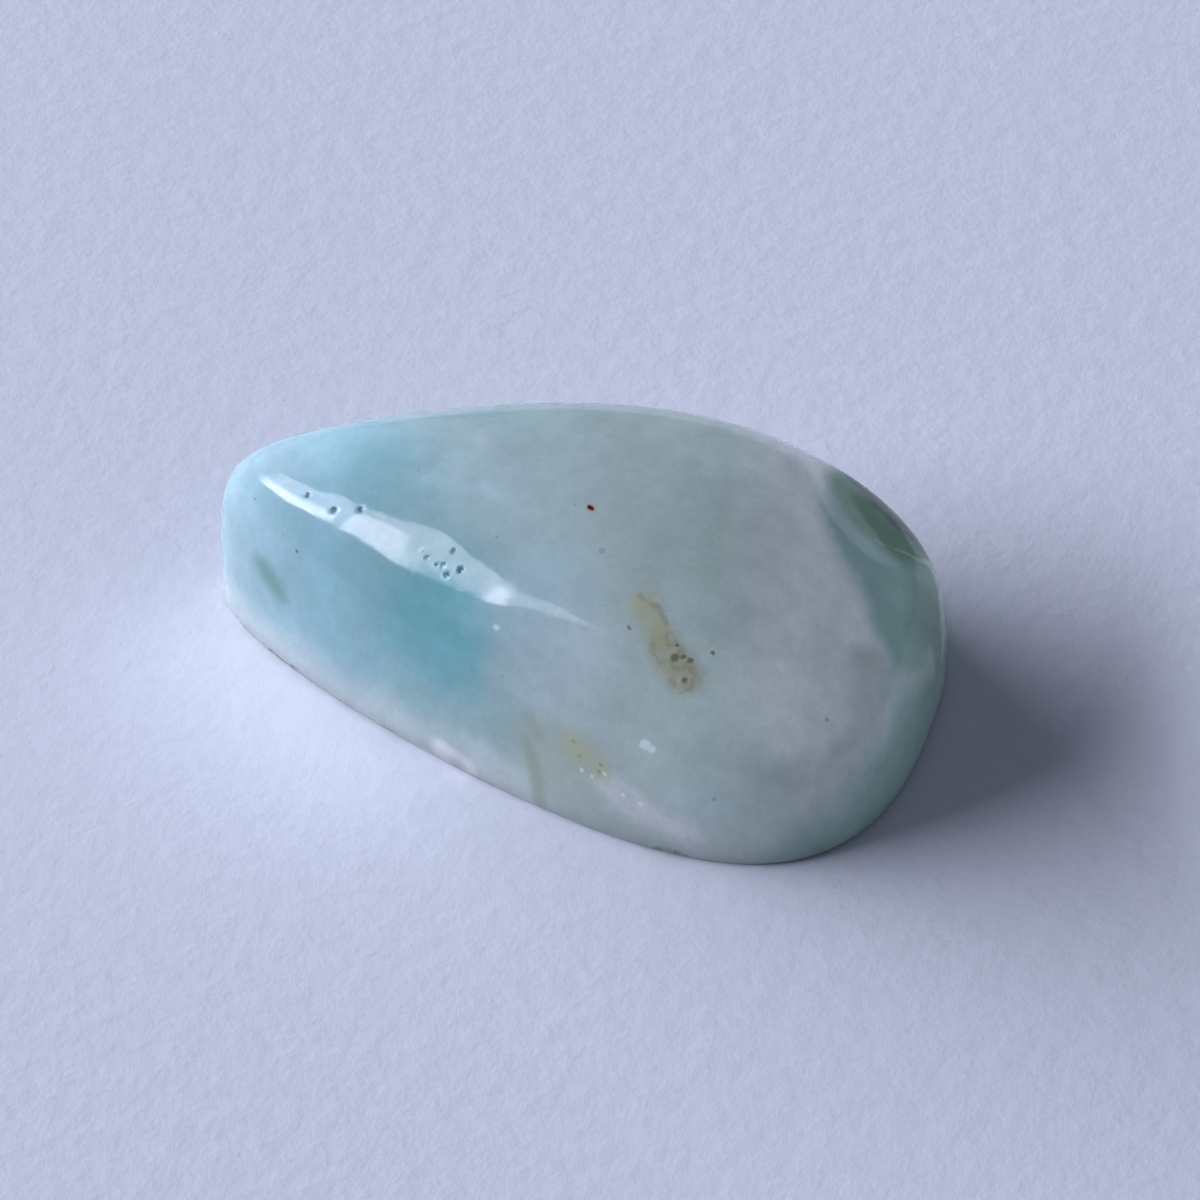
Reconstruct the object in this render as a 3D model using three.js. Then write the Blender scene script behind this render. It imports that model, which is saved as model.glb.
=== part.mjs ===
// Opal cabochon: a drop-shaped stone with a flat back and a domed face, cut from one piece.
// It lies on its flat back. The pointed end is at -X, the round end at +X, and +Z is up.
import * as THREE from "three";
import { ParametricGeometry } from "three/addons/geometries/ParametricGeometry.js";
import { mergeVertices } from "three/addons/utils/BufferGeometryUtils.js";

// Driving sizes of the stone, in millimetres
const length = 24.0;
const frontHalfWidth = 8.16;
const backHalfWidth = 6.85;
const height = 8.66;
const footBevel = 0.3;

// Highest point of the dome, measured from the middle of the length and the tip's line,
// and how roundly the dome curves there
const crownX = 0.63;
const crownY = 0.44;
const crownRadiusAlong = 39.1;
const crownRadiusAcross = 11.2;
const crownReach = 3;

// Plan outline: how far the tip is rounded off as a share of the length, how straight each side
// runs from it, how far each side stays full towards the heel, and how round the heel is
const tipRounding = 0.014;
const frontTaper = 0.624;
const backTaper = 0.788;
const frontFullness = 4.4;
const backFullness = 1.01;
const heelRoundness = 0.36;

// Side wall: 2 is a round side, and a higher number stands steeper with a tighter shoulder
const wallAtTip = 7.1;
const wallAtFront = 2.01;
const wallAtBack = 2.69;
const wallAtHeel = 5.12;
const tipWallReach = 5.6;

// Dome: 2 is an ellipse, and a lower number falls away faster towards the rim
const domeAtTip = 2.07;
const domeAtFront = 1.75;
const domeAtBack = 2.15;
const domeAtHeel = 1.96;
const domeAtCrown = 2;

// Softening of the wall and the dome on the front shoulder, half way between the tip and the front
const frontShoulderEase = 0.2;

// Fall of the dome towards each end, as a share of the height
const fallToTip = 0.14;
const fallToHeel = 0.34;

// Facets of the solid
const facetsAround = 96;
const ringsOnDome = 34;
const ringsOnFoot = 2;
const firstRing = 0.03;

const halfLength = length / 2;
const middleY = (backHalfWidth - frontHalfWidth) / 2;

// Half width of one side of the outline, before it is scaled, at a share of the length
function sideProfile(share, taper, fullness) {
  const roundedTip = Math.sqrt(share * share + 2 * share * tipRounding);
  const fromTip = roundedTip * Math.pow(share + tipRounding, taper - 1);
  return fromTip * Math.pow(Math.max(1 - Math.pow(share, fullness), 0), heelRoundness);
}

// One side of the plan outline, with its widest place found by stepping along the length
function outlineSide(halfWidth, taper, fullness) {
  const steps = 2000;
  let widest = 0;
  for (let step = 0; step <= steps; step += 1) {
    widest = Math.max(widest, sideProfile(step / steps, taper, fullness));
  }
  return (share) => (halfWidth * sideProfile(share, taper, fullness)) / widest;
}

const frontSide = outlineSide(frontHalfWidth, frontTaper, frontFullness);
const backSide = outlineSide(backHalfWidth, backTaper, backFullness);

// Point of the plan outline at an angle round the stone: 0 at the tip, half a turn at the heel
function outlinePoint(angle) {
  const share = (1 - Math.cos(angle)) / 2;
  const y = Math.sin(angle) > 0 ? backSide(share) : -frontSide(share);
  return [-halfLength * Math.cos(angle), y];
}

// A value that changes from the tip by way of each side to the heel, at an angle round the stone
function aroundStone(angle, atTip, atFront, atBack, atHeel) {
  const tipShare = Math.pow((1 + Math.cos(angle)) / 2, tipWallReach);
  const heelShare = Math.pow(Math.max(-Math.cos(angle), 0), 2);
  const backShare = Math.pow(Math.max(Math.sin(angle), 0), 2);
  const atSide = atFront * (1 - backShare) + atBack * backShare;
  const sideShare = Math.max(1 - tipShare - heelShare, 0);
  const frontShare = Math.max(-Math.sin(angle), 0);
  const halfWay = Math.pow(2 * frontShare * Math.max(Math.cos(angle), 0), 2);
  const inAll = atTip * tipShare + atSide * sideShare + atHeel * heelShare;
  return inAll - frontShoulderEase * halfWay;
}

// Share of the full height that the dome keeps at a place along the length
function keptHeight(x) {
  const towardsTip = Math.max(crownX - x, 0) / (crownX + halfLength);
  const towardsHeel = Math.max(x - crownX, 0) / (halfLength - crownX);
  return 1 - fallToTip * towardsTip ** 2 - fallToHeel * towardsHeel ** 2;
}

// Height of the smooth cap at the crown, a paraboloid with the two crown radii
function capHeight(x, y) {
  const along = (x - crownX) ** 2 / (2 * crownRadiusAlong);
  const across = (y - crownY) ** 2 / (2 * crownRadiusAcross);
  return height - along - across;
}

// Point of the polished surface: climb is 0 at the rim of the flat back and 1 at the crown
function domePoint(angle, climb, target) {
  const wall = aroundStone(angle, wallAtTip, wallAtFront, wallAtBack, wallAtHeel);
  const dome = aroundStone(angle, domeAtTip, domeAtFront, domeAtBack, domeAtHeel);
  const turn = (Math.PI / 2) * Math.pow(climb, 1 + (wall / 2 - 1) * (1 - climb));
  const cosine = Math.max(Math.cos(turn), 0);
  const domeHere = domeAtCrown + (dome - domeAtCrown) * cosine ** 2;
  const outward = climb < 1 ? Math.pow(cosine, 2 / domeHere) : 0;
  const upward = Math.pow(Math.sin(turn), 2 / wall);
  const [rimX, rimY] = outlinePoint(angle);
  const x = crownX + (rimX - crownX) * outward;
  const y = crownY + (rimY - crownY) * outward;
  const capShare = Math.pow(1 - outward ** 2, crownReach);
  const z = height * upward * keptHeight(x) * (1 - capShare) + capHeight(x, y) * capShare;
  return target.set(x, y - middleY, z);
}

// Point of the flat back: outward is 0 at its middle and 1 at its rim, which the bevel draws in
function footPoint(angle, outward, target) {
  const [rimX, rimY] = outlinePoint(angle);
  const reach = Math.hypot(rimX, rimY - middleY);
  const drawnIn = (outward * (reach - footBevel)) / reach;
  return target.set(rimX * drawnIn, (rimY - middleY) * drawnIn, 0);
}

// The whole skin of the stone, from the middle of the flat back, over the bevel, to the crown
function skinPoint(around, up, target) {
  const angle = around > 0 ? 2 * Math.PI * (1 - around) : 0;
  const ring = up * (ringsOnFoot + ringsOnDome);
  if (ring <= ringsOnFoot - 1) {
    return footPoint(angle, ring / (ringsOnFoot - 1), target);
  }
  const climb = (ring - ringsOnFoot) / ringsOnDome;
  return domePoint(angle, firstRing + (1 - firstRing) * Math.max(climb, 0), target);
}

// Closed solid: the seam and the two poles are merged, and the slivers left there dropped
function closedStone() {
  const skin = new ParametricGeometry(skinPoint, facetsAround, ringsOnFoot + ringsOnDome);
  skin.deleteAttribute("normal");
  skin.deleteAttribute("uv");
  const merged = mergeVertices(skin, 1e-5);
  const corners = merged.getIndex().array;
  const kept = [];
  for (let first = 0; first < corners.length; first += 3) {
    const [a, b, c] = corners.slice(first, first + 3);
    if (a !== b && b !== c && c !== a) {
      kept.push(a, b, c);
    }
  }
  merged.setIndex(kept);
  merged.computeVertexNormals();
  return merged;
}

// The one piece, with the mean colour and polish of the stone
function opalStone() {
  const polish = new THREE.MeshStandardMaterial({ color: 0x93b0b8, roughness: 0.22, metalness: 0 });
  const stone = new THREE.Mesh(closedStone(), polish);
  stone.name = "opal";
  return stone;
}

const cabochon = new THREE.Group();
cabochon.name = "opal_cabochon";
cabochon.add(opalStone());

export default cabochon;
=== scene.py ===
"""An opal cabochon lying on its flat back on pale paper, lit by one window.

The stone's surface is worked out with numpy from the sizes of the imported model. Its colours are
zones and inclusions placed in the stone, in millimetres of the model's frame.
"""

import math

import bpy
import numpy as np
from mathutils import Matrix, Vector


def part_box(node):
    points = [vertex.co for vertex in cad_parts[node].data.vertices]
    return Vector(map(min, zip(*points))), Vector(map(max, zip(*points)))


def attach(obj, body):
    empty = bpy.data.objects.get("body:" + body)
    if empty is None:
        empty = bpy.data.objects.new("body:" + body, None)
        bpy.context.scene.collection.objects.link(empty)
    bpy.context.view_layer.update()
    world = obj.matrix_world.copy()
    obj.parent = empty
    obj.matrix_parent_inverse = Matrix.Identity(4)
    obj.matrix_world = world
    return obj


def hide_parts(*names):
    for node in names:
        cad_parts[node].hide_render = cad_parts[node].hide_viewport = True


bl_info = {
    "name": "Opal cabochon",
    "version": (1, 0, 0),
    "blender": (4, 5, 0),
    "location": "View3D > Sidebar > Opal",
    "description": "Builds a polished opal cabochon with its colour zones and inclusions",
    "category": "Add Mesh",
}

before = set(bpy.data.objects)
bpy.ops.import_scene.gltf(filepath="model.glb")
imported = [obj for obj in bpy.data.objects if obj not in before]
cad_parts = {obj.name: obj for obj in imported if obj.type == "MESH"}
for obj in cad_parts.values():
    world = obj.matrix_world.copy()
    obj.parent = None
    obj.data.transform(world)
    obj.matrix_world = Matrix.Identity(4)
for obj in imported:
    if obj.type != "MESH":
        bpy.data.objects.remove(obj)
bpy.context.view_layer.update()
STONE_LOW, STONE_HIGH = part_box("opal")
MM = 0.001

# Crown of the dome over the plan, its two radii, and its fall towards the tip and the heel
CROWN = (0.63, 0.44)
CROWN_RADII = (39.1, 11.2)
TIP_FALL = 0.14
HEEL_FALL = 0.34
# Powers of the front and the back side of the plan: towards the tip and towards the heel
FRONT_POWERS = (0.624, 4.4)
BACK_POWERS = (0.788, 1.01)
# Powers of the wall and of the dome at the tip, the front, the back and the heel
WALL_POWERS = (7.1, 2.01, 2.69, 5.12)
DOME_POWERS = (2.07, 1.75, 2.15, 1.96)
# Reach of each flat on the front shoulder, in millimetres
FLAT_REACH = 2.6
# Rings of faces below this share of the climb round off the foot
FOOT_RINGS = 14
FOOT_CLIMB = 0.04

# Depth that light reaches in the stone, its refraction, and the height of the finest polish marks
CLOUDY_DEPTH = 0.004
REFRACTION = 1.45
POLISH_MARKS = 0.000002
PAPER_GRAIN = 0.00004

# Point that the camera faces, sideways shift of the picture, and width of the sensor
CAMERA_TARGET = (0, 0.00066, 0.00433)
PICTURE_SHIFT = (0.020162, -0.035986)
SENSOR_WIDTH = 36


def length_value(name, words, value, least=None):
    """A length in metres that a user of the add-on may change."""
    limit = {} if least is None else {"min": least}
    return bpy.props.FloatProperty(name=name, description=words, default=value, unit="LENGTH", **limit)


def angle_value(name, words, degrees):
    """An angle that a user of the add-on may change, given here in degrees."""
    default = math.radians(degrees)
    return bpy.props.FloatProperty(name=name, description=words, default=default, subtype="ANGLE")


def plain_value(name, words, value, least=0.0):
    """A plain number with a lower limit."""
    return bpy.props.FloatProperty(name=name, description=words, default=value, min=least)


def count_value(name, words, value, least=24):
    """A count with a lower limit, so that the stone keeps its shape."""
    return bpy.props.IntProperty(name=name, description=words, default=value, min=least)


def colour_value(name, words, value):
    """A colour, as red, green and blue from 0 to 1."""
    return bpy.props.FloatVectorProperty(
        name=name, description=words, default=value, subtype="COLOR", size=3, min=0.0, max=1.0
    )


class StoneShape(bpy.types.PropertyGroup):
    """Sizes of the stone. Length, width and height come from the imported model."""

    length: length_value(
        "Length",
        "Length of the stone from tip to heel",
        STONE_HIGH.x - STONE_LOW.x, least=0.001,
    )
    width: length_value("Width", "Widest width of the stone", STONE_HIGH.y - STONE_LOW.y, least=0.001)
    height: length_value(
        "Height",
        "Height of the crown over the flat back",
        STONE_HIGH.z - STONE_LOW.z, least=0.001,
    )
    front_share: bpy.props.FloatProperty(
        name="Front share",
        description="Share of the width that lies in front of the line through the tip",
        default=0.5436,
        min=0.3,
        max=0.7,
        subtype="FACTOR",
    )
    foot_round: length_value(
        "Foot rounding",
        "Radius of the worn edge round the flat back",
        0.0003, least=0.0,
    )
    facet_depth: length_value(
        "Facet depth",
        "How deep the worn flat on the back shoulder is cut",
        0.00026, least=0.0,
    )
    wave_height: length_value(
        "Polish waves",
        "Height of the soft waves that hand polishing leaves",
        0.000002, least=0.0,
    )
    pit_depth: length_value("Pit depth", "Depth of the open pits on the shoulder", 0.00005, least=0.0)
    chip_depth: length_value(
        "Chip depth",
        "Depth of the small chip at the front foot",
        0.00012, least=0.0,
    )
    columns: count_value("Columns", "Columns of faces round the stone", 440)
    rings: count_value("Rings", "Rings of faces from the foot to the crown", 200, least=12)


class OpalColours(bpy.types.PropertyGroup):
    """Colours of the stone's zones, stains and inclusions."""

    tip: colour_value("Tip", "Pale blue-green at the tip", (0.35, 0.47, 0.5))
    aqua: colour_value("Aqua", "Blue-green behind the tip", (0.335, 0.515, 0.56))
    sea: colour_value("Sea green", "Grey-green a third of the way along", (0.32, 0.45, 0.455))
    sea_grey: colour_value("Sea grey", "Greyer green before the middle", (0.35, 0.45, 0.435))
    grey: colour_value("Grey", "Grey-green of the middle", (0.39, 0.455, 0.43))
    milky: colour_value("Milky grey", "Milky grey past the middle", (0.465, 0.55, 0.51))
    milk: colour_value("Milk", "Milk white near the heel", (0.775, 0.81, 0.79))
    deep_blue: colour_value("Deep blue", "Blue under the front shoulder", (0.19, 0.41, 0.435))
    upper_blue: colour_value("Upper blue", "Blue over the front shoulder", (0.26, 0.44, 0.465))
    cloud: colour_value("Cloud", "Milky clouds near the tip", (0.41, 0.535, 0.57))
    haze: colour_value("Haze", "Lilac haze beside the blue", (0.5, 0.56, 0.57))
    cream: colour_value("Cream", "Cream band along the front foot", (0.64, 0.69, 0.66))
    low_green: colour_value("Low green", "Green-grey at the front foot", (0.42, 0.49, 0.45))
    low_grey: colour_value("Low grey", "Grey of the lower front near the heel", (0.47, 0.55, 0.515))
    low_blue: colour_value("Low blue", "Bluish cloud at the lower front", (0.44, 0.56, 0.57))
    # Painted shade: the dark line where the foot meets the paper
    seam: colour_value("Painted foot shade", "Painted shade along the foot where it meets the paper", (0.16, 0.15, 0.13))
    chip: colour_value("Chip", "Whitish rough chip at the front foot", (0.9, 0.91, 0.9))
    lilac: colour_value("Lilac", "Lilac clouds at the front foot", (0.64, 0.66, 0.66))
    teal: colour_value("Teal", "Teal round the heel", (0.31, 0.48, 0.43))
    deep_teal: colour_value("Deep teal", "Darker green at the back of the heel", (0.14, 0.24, 0.18))
    # Painted shade: a darker neutral grey round the heel's lower front shoulder
    heel_painted_shade: colour_value("Heel painted shade", "Painted shade, a darker grey round the heel's shoulder", (0.49, 0.55, 0.52))
    # Partly vein, partly painted reflection of the paper along the heel's edge
    heel_vein_and_reflection: colour_value("Heel vein and reflection", "Pale band under the heel's teal, partly a painted reflection of the paper", (0.52, 0.6, 0.56))
    foot_teal: colour_value("Foot teal", "Green along the heel's foot", (0.36, 0.53, 0.46))
    olive: colour_value("Olive", "Olive green of the worn flat", (0.22, 0.35, 0.25))
    shade: colour_value("Shade", "Dark line along the worn flat's edge", (0.17, 0.21, 0.19))
    tan: colour_value("Tan", "Tan veil of the stain", (0.43, 0.435, 0.29))
    brown: colour_value("Brown", "Brown veil of the stain", (0.4, 0.385, 0.27))
    dark_brown: colour_value("Dark brown", "Curls in the stain", (0.23, 0.2, 0.11))
    darkest_brown: colour_value("Darkest brown", "Grains in the stain", (0.13, 0.11, 0.06))
    olive_veil: colour_value("Olive veil", "Faint olive veil at the front foot", (0.4, 0.43, 0.35))
    olive_stain: colour_value("Olive stain", "Olive stain at the front foot", (0.31, 0.34, 0.25))
    green_spot: colour_value("Green spot", "Green spot near the tip", (0.17, 0.33, 0.28))
    pit: colour_value("Pit", "Dark specks and pits", (0.09, 0.17, 0.18))
    white: colour_value("White", "White specks", (0.85, 0.88, 0.87))
    red_halo: colour_value("Red halo", "Warm rim round the red grain", (0.6, 0.33, 0.24))
    red: colour_value("Red", "Red grain", (0.07, 0.01, 0.01))


class StageLook(bpy.types.PropertyGroup):
    """The paper, the window and the camera."""

    floor_size: length_value("Floor size", "Side of the square sheet of paper", 1.2, least=0.1)
    paper: colour_value("Paper", "Colour of the paper", (0.80, 0.80, 0.87))
    window_bearing: angle_value(
        "Window bearing",
        "Direction the window faces from, from the picture's right, anticlockwise",
        177,
    )
    window_roll: angle_value("Window roll", "How far the window's near end is tipped up", 8.1)
    window_distance: length_value(
        "Window distance",
        "Distance of the window's wall from the stone",
        1.0, least=0.1,
    )
    window_far: length_value(
        "Window far end",
        "Where the window ends behind the stone, along its wall",
        -1.17,
    )
    window_near: length_value(
        "Window near end",
        "Where the window ends in front of the stone, along its wall",
        0.759,
    )
    window_sill: length_value("Window sill", "Height of the window's lower edge over the paper", 0.356)
    window_top: length_value("Window top", "Height of the window's upper edge over the paper", 0.638)
    window_power: plain_value("Window power", "Power of the window light in watts", 32.0)
    window_colour: colour_value("Window colour", "Colour of the daylight", (0.76, 0.835, 1.0))
    mirror_gap: length_value(
        "Mirror gap",
        "How far the light for the window's image hangs before the window",
        0.01, least=0.001,
    )
    daylight_turn: angle_value(
        "Daylight turn",
        "How far the daylight is turned about the stone from the window's image",
        -5,
    )
    daylight_reach: plain_value(
        "Daylight reach",
        "How much further off and larger the daylight's rectangle is than the image's",
        1.2, least=1.0,
    )
    mirror_margin: plain_value(
        "Mirror margin",
        "How far the image's light reaches past the window, as a share of the window",
        0.1,
    )
    mirror_power: plain_value("Mirror power", "Power of the window's image in the polish in watts", 43)
    mirror_colour: colour_value(
        "Mirror colour",
        "Colour of the window's image in the polish",
        (0.85, 0.85, 1.0),
    )
    curtain_far: length_value(
        "Curtain far",
        "Where the image starts to dim towards the window's far end",
        0.16,
    )
    fill_bearing: angle_value(
        "Fill bearing",
        "Direction of the stone's fill light, from the picture's right, anticlockwise",
        20,
    )
    fill_rise: angle_value("Fill rise", "Height of the stone's fill light over the horizon", 50)
    fill_size: length_value("Fill size", "Side of the stone's fill light", 1.4, least=0.01)
    fill_power: plain_value("Fill power", "Power of the stone's fill light in watts", 3.9)
    glow_place: bpy.props.FloatVectorProperty(
        name="Glow place",
        description="Where the light that the wall throws down starts",
        subtype="XYZ",
        unit="LENGTH",
        size=3,
        default=(-0.0085, -0.0045, 0.004),
    )
    glow_way: bpy.props.FloatVectorProperty(
        name="Glow way",
        description="Direction opposite to the one the glow faces",
        subtype="DIRECTION",
        size=3,
        default=(0.45, 0.75, 0.6),
    )
    glow_length: length_value(
        "Glow length",
        "Length of the glow's light along the wall",
        0.012, least=0.0001,
    )
    glow_height: length_value("Glow height", "Height of the glow's light", 0.004, least=0.0001)
    glow_power: plain_value("Glow power", "Power of the glow in watts", 9e-05)
    room_colour: colour_value(
        "Room colour",
        "Colour of the dim light from the rest of the room",
        (0.70, 0.74, 1.0),
    )
    room_strength: plain_value(
        "Room strength",
        "Strength of the dim light from the rest of the room",
        0.136,
    )
    camera_bearing: angle_value(
        "Camera bearing",
        "How far the camera stands to the right of straight in front",
        16.355,
    )
    camera_rise: angle_value("Camera rise", "Height of the camera over the horizon", 42.02)
    camera_distance: length_value(
        "Camera distance",
        "Distance from the camera to the middle of the stone",
        0.22239, least=0.01,
    )
    camera_lens: plain_value("Lens", "Focal length of the lens in millimetres", 207.26, least=10.0)


def bump_share(distance):
    """Smooth bump: 1 at distance 0, 0 from distance 1 on, as the square of one less its square."""
    return np.clip(1 - distance**2, 0, 1) ** 2


def side_profile(share, taper, fullness, tip_rounding=0.014, heel_round=0.36):
    """Half width at a share of the length, before scaling.

    The rounded tip is the root of share squared plus twice share times the rounding. It is drawn out
    by share plus rounding to the power taper less 1, and closed at the heel by one less share to the
    power fullness, to the power of the heel's rounding.
    """
    rounded = np.sqrt(share**2 + 2 * share * tip_rounding)
    drawn = rounded * (share + tip_rounding) ** (taper - 1)
    return drawn * np.clip(1 - share**fullness, 0, 1) ** heel_round


def plan_outline(angle, shape):
    """Rim of the stone seen from above, in millimetres, at an angle that is 0 at the tip.

    x is minus the half length times the cosine. y is each side's profile over its largest value,
    times that side's half width.
    """
    steps = np.linspace(0, 1, 2001)
    share = (1 - np.cos(angle)) / 2
    front_width = shape.width / MM * shape.front_share
    back_width = shape.width / MM - front_width
    front = side_profile(share, *FRONT_POWERS) / side_profile(steps, *FRONT_POWERS).max()
    back = side_profile(share, *BACK_POWERS) / side_profile(steps, *BACK_POWERS).max()
    y = np.where(np.sin(angle) > 0, back_width * back, -front_width * front)
    return -shape.length / MM / 2 * np.cos(angle), y


def around_stone(angle, at_tip, at_front, at_back, at_heel):
    """A value that changes from the tip by way of each side to the heel.

    The tip's share is half of one plus the cosine to the power 5.6, the heel's share is minus the
    cosine squared, the back's share of the rest is the sine squared. Half way between tip and front
    the value is less by 0.2 times the squared sine of twice the angle.
    """
    tip_share = ((1 + np.cos(angle)) / 2) ** 5.6
    heel_share = np.clip(-np.cos(angle), 0, 1) ** 2
    back_share = np.clip(np.sin(angle), 0, 1) ** 2
    side_share = np.clip(1 - tip_share - heel_share, 0, 1)
    at_side = at_front * (1 - back_share) + at_back * back_share
    half_way = (2 * np.clip(-np.sin(angle), 0, 1) * np.clip(np.cos(angle), 0, 1)) ** 2
    return at_tip * tip_share + at_side * side_share + at_heel * heel_share - 0.2 * half_way


def polished_skin(angle, climb, shape):
    """Points of the wall and dome, in millimetres, for arrays of angle and climb.

    climb is 0 at the rim and 1 at the crown. Each meridian is a superellipse: outward is a cosine and
    upward a sine, each to the power of two over its own exponent, which changes round the stone. The
    height falls off with the square of the distance to either end, and a paraboloid closes the crown.
    """
    crown_x, crown_y = CROWN
    radius_x, radius_y = CROWN_RADII
    half_length = shape.length / MM / 2
    height = shape.height / MM
    wall = around_stone(angle, *WALL_POWERS)
    dome = around_stone(angle, *DOME_POWERS)
    turn = math.pi / 2 * climb ** (1 + (wall / 2 - 1) * (1 - climb))
    cosine = np.where(climb < 1, np.clip(np.cos(turn), 0, 1), 0)
    dome_here = 2 + (dome - 2) * cosine**2
    outward = cosine ** (2 / dome_here)
    upward = np.sin(turn) ** (2 / wall)
    rim_x, rim_y = plan_outline(angle, shape)
    x = crown_x + (rim_x - crown_x) * outward
    y = crown_y + (rim_y - crown_y) * outward
    to_tip = np.clip(crown_x - x, 0, None) / (crown_x + half_length)
    to_heel = np.clip(x - crown_x, 0, None) / (half_length - crown_x)
    kept = 1 - TIP_FALL * to_tip**2 - HEEL_FALL * to_heel**2
    cap = height - (x - crown_x) ** 2 / (2 * radius_x) - (y - crown_y) ** 2 / (2 * radius_y)
    cap_share = np.clip(1 - outward**2, 0, 1) ** 3
    z = height * upward * kept * (1 - cap_share) + cap * cap_share
    middle_y = shape.width / MM * (0.5 - shape.front_share)
    return np.stack([x, y - middle_y, z], axis=-1)


def column_angles(columns):
    """Angles of the columns, closer together along the front shoulder near the tip, where the pits are.

    The spacing is one over one plus a bump, summed up and stretched to a full turn.
    """
    turn = np.linspace(0, 2 * math.pi, 4001)
    crowding = 1 + 1.8 * bump_share((turn - math.radians(305)) / math.radians(50))
    total = np.concatenate([[0], np.cumsum((crowding[1:] + crowding[:-1]) / 2)])
    wanted = np.arange(columns) / columns * total[-1]
    return np.interp(wanted, total, turn)


def polish_waves(points):
    """Soft waves of hand polishing: the sum of four sine waves across the stone, -1 to 1."""
    x, y, z = points[..., 0], points[..., 1], points[..., 2]
    waves = np.sin(1.3 * x + 0.7 * y + 0.4) + np.sin(-0.8 * x + 1.5 * y + 1.1 * z + 2.1)
    waves = waves + np.sin(0.6 * x - 1.1 * y + 1.9 * z + 4.0) + np.sin(2.1 * x + 1.7 * z + 1.0)
    return waves / 4


def dent(points, centre, radius):
    """A round dent, 1 at its centre and 0 from its radius on."""
    away = np.linalg.norm(points - np.array(centre), axis=-1)
    return bump_share(away / radius)


def worn_facet(points, depth):
    """Flattens the back shoulder by a plane: a point beyond the plane is drawn back to it.

    The soft corner is the mean of the distance and its own size rounded by a small radius.
    """
    normal = np.array([0.59, 0.25, 0.77])
    normal = normal / np.linalg.norm(normal)
    touch = np.array([9.2, 3.7, 5.52])
    beyond = (points - touch) @ normal + depth
    corner = 0.012
    drawn_in = (beyond + np.sqrt(beyond**2 + corner**2)) / 2
    near = bump_share(np.linalg.norm(points - touch, axis=-1) / 5.0)
    return points - (drawn_in * near)[..., None] * normal


def hand_flats(points):
    """Height of the soft flats and swells that hand grinding left on the front shoulder.

    Each is a smooth bump of its own height, in millimetres, that fades out at its reach.
    """
    height = np.zeros(points.shape[:-1])
    for middle, rise in SHOULDER_FLATS:
        height = height + rise * dent(points, middle, FLAT_REACH)
    return height


def grid_normals(grid):
    """Outward normals of a grid of points, closed round its first axis, by central differences."""
    along = np.roll(grid, -1, axis=0) - np.roll(grid, 1, axis=0)
    up = np.gradient(grid, axis=1)
    normals = np.cross(up, along)
    length = np.linalg.norm(normals, axis=-1, keepdims=True)
    return normals / np.maximum(length, 1e-12)


def stone_skin(shape):
    """The whole upper skin as a grid of points in millimetres, columns first, foot to crown.

    The back shoulder is flattened first. Then the foot is rounded: near the flat back a point moves
    inward by the rounding less the height of a quarter circle. Polish waves, flats, pits and the chip
    then move points along the normal.
    """
    angle = column_angles(shape.columns)[:, None]
    foot = FOOT_CLIMB * np.linspace(0, 1, FOOT_RINGS) ** 1.6
    rest = np.linspace(FOOT_CLIMB, 1, shape.rings - FOOT_RINGS + 1)
    climb = np.concatenate([foot[:-1], rest])[None, :]
    angle, climb = np.broadcast_arrays(angle, climb)
    points = polished_skin(angle, climb, shape)
    points = worn_facet(points, shape.facet_depth / MM)
    normals = grid_normals(points)
    flat_way = normals[:, 3:4, :2]
    flat_way = flat_way / np.linalg.norm(flat_way, axis=-1, keepdims=True)
    foot_round = shape.foot_round / MM
    below = np.clip(1 - points[..., 2] / foot_round, 0, 1)
    inward = foot_round * (1 - np.sqrt(1 - below**2))
    points[..., :2] = points[..., :2] - inward[..., None] * flat_way
    above_foot = np.clip(points[..., 2:] / 1.5, 0, 1)
    lift = shape.wave_height / MM * polish_waves(points) + hand_flats(points)
    points = points + normals * (lift[..., None] * above_foot)
    for centre, radius in DARK_DOTS:
        pit = shape.pit_depth / MM * dent(points, centre, 1.3 * radius)
        points = points - normals * pit[..., None]
    chip = shape.chip_depth / MM * dent(points, *CHIP)
    points = points - normals * chip[..., None]
    points[..., 2] = np.clip(points[..., 2], 0, None)
    return points


def closed_stone(skin):
    """Vertices and faces of the closed stone from its skin grid.

    The last ring is the crown and becomes one point. The flat back is two rings drawn in to the middle
    and one point. Faces run the same way round, so they all point outward.
    """
    columns, rings = skin.shape[0], skin.shape[1]
    rim = skin[:, 0, :]
    middle = rim.mean(axis=0)
    inner = middle + (rim - middle) * 0.9
    core = middle + (rim - middle) * 0.45
    levels = np.concatenate([core[:, None], inner[:, None], skin[:, :-1, :]], axis=1)
    count = levels.shape[1]
    points = np.concatenate([levels.reshape(-1, 3), middle[None], skin[:1, -1, :]])
    base_point = columns * count
    crown_point = base_point + 1
    column = np.arange(columns)
    following = (column + 1) % columns
    level = np.arange(count - 1)[None, :]
    here = column[:, None] * count + level
    there = following[:, None] * count + level
    quads = np.stack([there, here, here + 1, there + 1], axis=-1).reshape(-1, 4)
    bottom = np.stack([column * count, following * count, np.full(columns, base_point)], axis=-1)
    last = count - 1
    top = np.stack(
        [following * count + last, column * count + last, np.full(columns, crown_point)], axis=-1
    )
    return points, quads, np.concatenate([bottom, top])


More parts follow.
